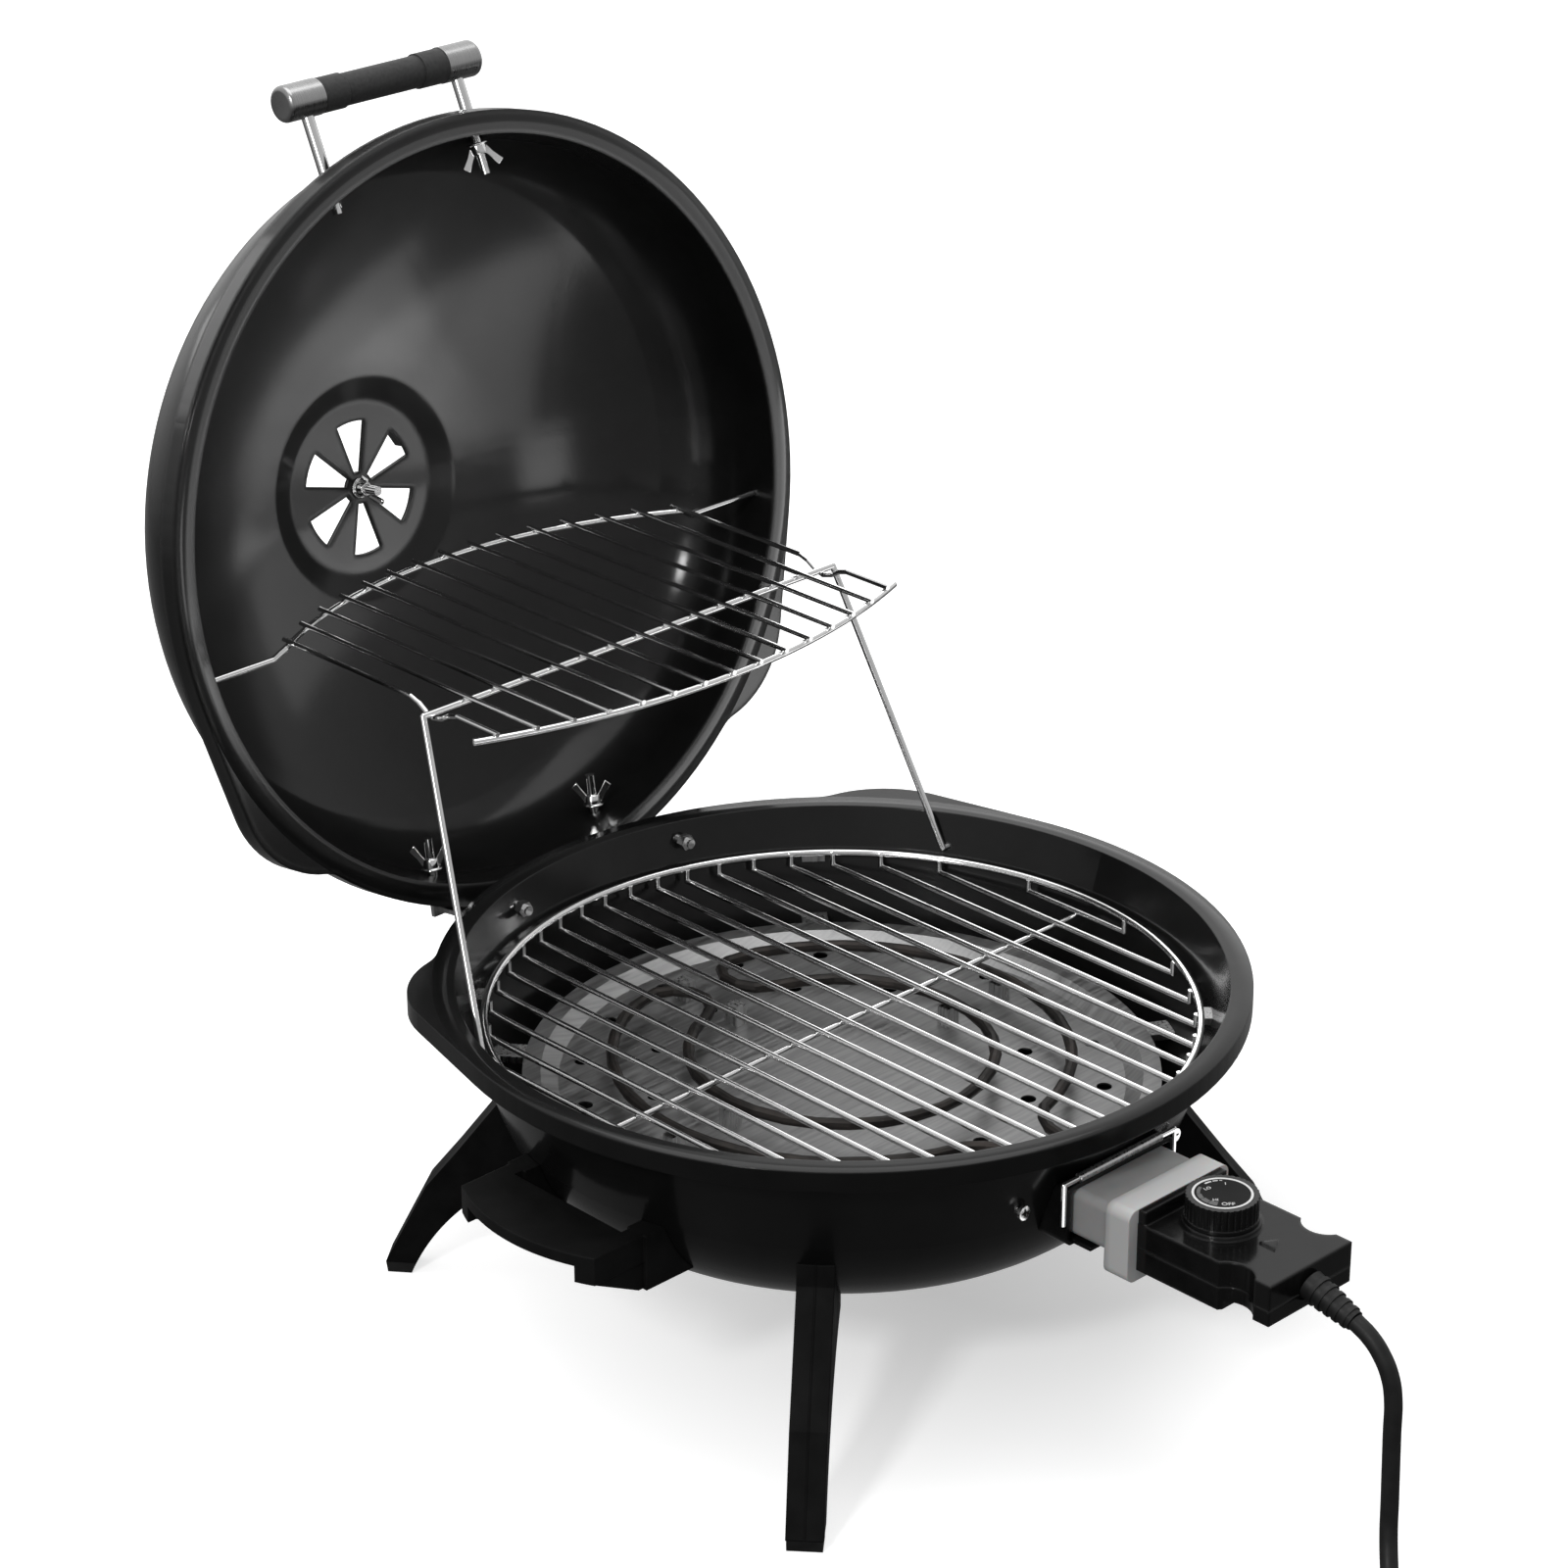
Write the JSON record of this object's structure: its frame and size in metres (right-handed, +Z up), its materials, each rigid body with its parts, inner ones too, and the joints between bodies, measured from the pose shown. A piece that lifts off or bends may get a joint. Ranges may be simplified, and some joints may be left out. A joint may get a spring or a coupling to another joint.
{
  "type": "electric table grill",
  "caption": "Round electric table grill with hinged domed lid, warming rack on a bail linkage, wire cooking grate over a heating loop, plug-in temperature control and splayed legs.",
  "frame": {"origin": "on the table under the middle of the grill's length and width, the cord left out; the bowl's centre is 46 mm in front of it", "axes": "+Z up, -Y towards the plug-in control at the front, +Y towards the lid hinge, +X to the right seen from the front"},
  "size_m": [0.512, 0.9621, 0.6689],
  "materials": {
    "enamel": "gloss black enamel",
    "matte_plastic": "satin black moulded plastic",
    "foot_pad": "soft black pad",
    "steel": "brushed",
    "chrome": "bright plated wire and fasteners",
    "element": "dark heat-tinted sheath",
    "socket_enamel": "satin black",
    "frosted": "light grey frosted",
    "gloss_plastic": "gloss black",
    "cord": "smooth black jacket"
  },
  "bodies": {
    "bowl_body": {"bowl": "enamel", "leg_front_left": "matte_plastic", "leg_front_right": "matte_plastic", "leg_rear_left": "matte_plastic", "leg_rear_right": "matte_plastic", "foot_front_left": "foot_pad", "foot_front_right": "foot_pad", "foot_rear_left": "foot_pad", "foot_rear_right": "foot_pad", "leg_bolts": "steel", "side_handle_left": "matte_plastic", "side_handle_right": "matte_plastic", "side_handle_bolts": "steel", "cooking_grate": "chrome", "grate_tabs": "steel", "reflector_pan": "steel", "pan_tabs": "steel", "heating_element": "element", "element_clips": "steel", "element_plate": "steel", "socket_box": "socket_enamel", "socket_wire": "chrome", "socket_sleeve": "steel", "socket_screws": "chrome", "hinge_bowl_bracket_left": "steel", "hinge_bowl_bracket_right": "steel", "hinge_bowl_bolts": "chrome", "hinge_pin_left": "chrome", "hinge_pin_right": "chrome"},
    "lid_body": {"lid": "enamel", "hinge_lid_bracket_left": "steel", "hinge_lid_bracket_right": "steel", "hinge_lid_bolts": "chrome", "hinge_wing_nuts": "chrome", "handle_grip": "matte_plastic", "handle_cap_left": "steel", "handle_cap_right": "steel", "handle_post_left": "chrome", "handle_post_right": "chrome", "handle_wing_nuts": "chrome", "vent_bolt": "chrome", "vent_wing_nut": "chrome"},
    "damper_body": {"vent_damper": "enamel"},
    "rack_body": {"warming_rack": "chrome", "rack_hook_bars": "chrome"},
    "bail_body": {"rack_bail": "chrome"},
    "control_body": {"control_upper_case": "gloss_plastic", "control_lower_case": "gloss_plastic", "control_shroud": "frosted", "control_probe": "chrome", "strain_relief": "cord", "cord_tube": "cord", "cord_coil": "cord", "cord_tie": "cord", "cord_tail": "cord", "plug_body": "cord", "plug_blades": "chrome"},
    "knob_body": {"knob": "gloss_plastic", "knob_dial": "gloss_plastic"}
  },
  "joints": [
    {"name": "lid_hinge", "type": "hinge", "parent": "bowl_body", "child": "lid_body", "pos_m": [0, 0.184, 0.19], "axis": [1, 0, 0], "range_deg": [0, 98.8]},
    {"name": "rack_bail", "type": "hinge", "parent": "bowl_body", "child": "bail_body", "pos_m": [0, 0.054, 0.1941], "axis": [1, 0, 0], "range_deg": [0, 98.8]},
    {"name": "warming_rack", "type": "hinge", "parent": "lid_body", "child": "rack_body", "pos_m": [0, 0.25596, 0.36394], "axis": [1, 0, 0], "range_deg": [-98.8, 0]},
    {"name": "vent_damper", "type": "hinge", "parent": "lid_body", "child": "damper_body", "pos_m": [0, 0.3779, 0.39272], "axis": [0, 0.9882, -0.153], "range_deg": [0, 30]},
    {"name": "knob", "type": "hinge", "parent": "control_body", "child": "knob_body", "pos_m": [0, -0.334, 0.176], "axis": [0, 0, -1], "range_deg": [0, 270]},
    {"name": "control_pull", "type": "slide", "parent": "bowl_body", "child": "control_body", "axis": [0, -1, 0], "range_m": [0, 0.04]}
  ],
  "couplings": [
    {"joint": "rack_bail", "follows": "lid_hinge", "ratio": 1},
    {"joint": "warming_rack", "follows": "lid_hinge", "ratio": -1}
  ]
}
